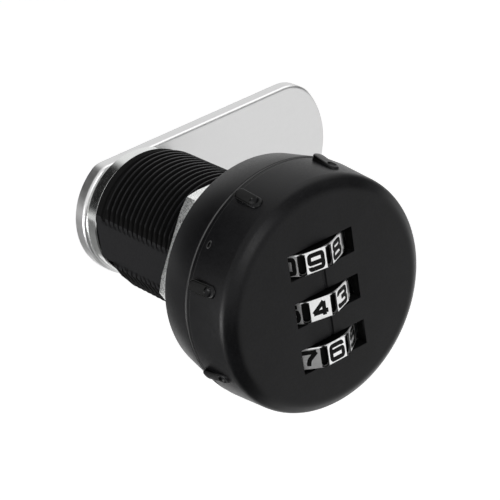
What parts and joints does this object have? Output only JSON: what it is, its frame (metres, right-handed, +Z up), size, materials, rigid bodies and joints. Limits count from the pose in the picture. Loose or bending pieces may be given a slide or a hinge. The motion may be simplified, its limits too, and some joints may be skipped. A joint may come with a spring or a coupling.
{
  "type": "combination cam lock",
  "caption": "Combination cam lock for a locker: black grip knob with windows over digit dials, a threaded barrel with flats, a hex nut and a flat cam behind.",
  "frame": {"origin": "on the lock's axis, in the plane of the base's rear face, where the panel's front face lies", "axes": "+Y along the barrel towards the cam, +Z up so that the digits stand upright, +X to the right as seen from the front; the face looks along -Y"},
  "size_m": [0.0477, 0.0476, 0.0314],
  "materials": {
    "black_paint": "satin black powder coat",
    "zinc_plated_steel": "bright zinc plate",
    "cam_steel": "nickel-plated sheet, satin",
    "dial_metal": "satin silver with black digits",
    "die_cast_zinc": "as cast",
    "brass": "turned",
    "spring_steel": "bright"
  },
  "bodies": {
    "housing": {"housing": "black_paint", "mounting_nut": "zinc_plated_steel"},
    "knob": {"knob_cap": "black_paint", "dial_carrier": "die_cast_zinc", "cap_screws": "zinc_plated_steel", "dial_axle": "zinc_plated_steel", "detent_spring": "spring_steel", "locking_bar_spring": "spring_steel", "code_change_spring": "spring_steel", "stop_washer": "zinc_plated_steel", "cam": "cam_steel", "flat_washer": "zinc_plated_steel", "spring_washer": "spring_steel", "cam_screw": "zinc_plated_steel"},
    "dial_top": {"dial_top": "dial_metal", "code_sleeve_top": "brass"},
    "dial_middle": {"dial_middle": "dial_metal", "code_sleeve_middle": "brass"},
    "dial_bottom": {"dial_bottom": "dial_metal", "code_sleeve_bottom": "brass"},
    "locking_bar": {"locking_bar": "die_cast_zinc"},
    "code_change_pin": {"code_change_pin": "brass"}
  },
  "joints": [
    {"name": "knob_turn", "type": "hinge", "parent": "housing", "child": "knob", "pos_m": [0, 0, 0], "axis": [0, 1, 0], "range_deg": [0, 90]},
    {"name": "dial_top_turn", "type": "hinge", "parent": "knob", "child": "dial_top", "pos_m": [-0.0006, -0.0087, 0.00609], "axis": [0, 0, 1], "continuous": true},
    {"name": "dial_middle_turn", "type": "hinge", "parent": "knob", "child": "dial_middle", "pos_m": [-0.0006, -0.0087, -0.00036], "axis": [0, 0, 1], "continuous": true},
    {"name": "dial_bottom_turn", "type": "hinge", "parent": "knob", "child": "dial_bottom", "pos_m": [-0.0006, -0.0087, -0.00681], "axis": [0, 0, 1], "continuous": true},
    {"name": "locking_bar_slide", "type": "slide", "parent": "knob", "child": "locking_bar", "axis": [-1, 0, 0], "range_m": [-0.0011, 0], "stiffness_N_per_m": 150, "springref_m": -0.003},
    {"name": "code_change_push", "type": "slide", "parent": "knob", "child": "code_change_pin", "axis": [0.749, 0, -0.6626], "range_m": [0, 0.0007], "stiffness_N_per_m": 150, "springref_m": -0.002, "deforming": ["code_change_spring"]}
  ]
}
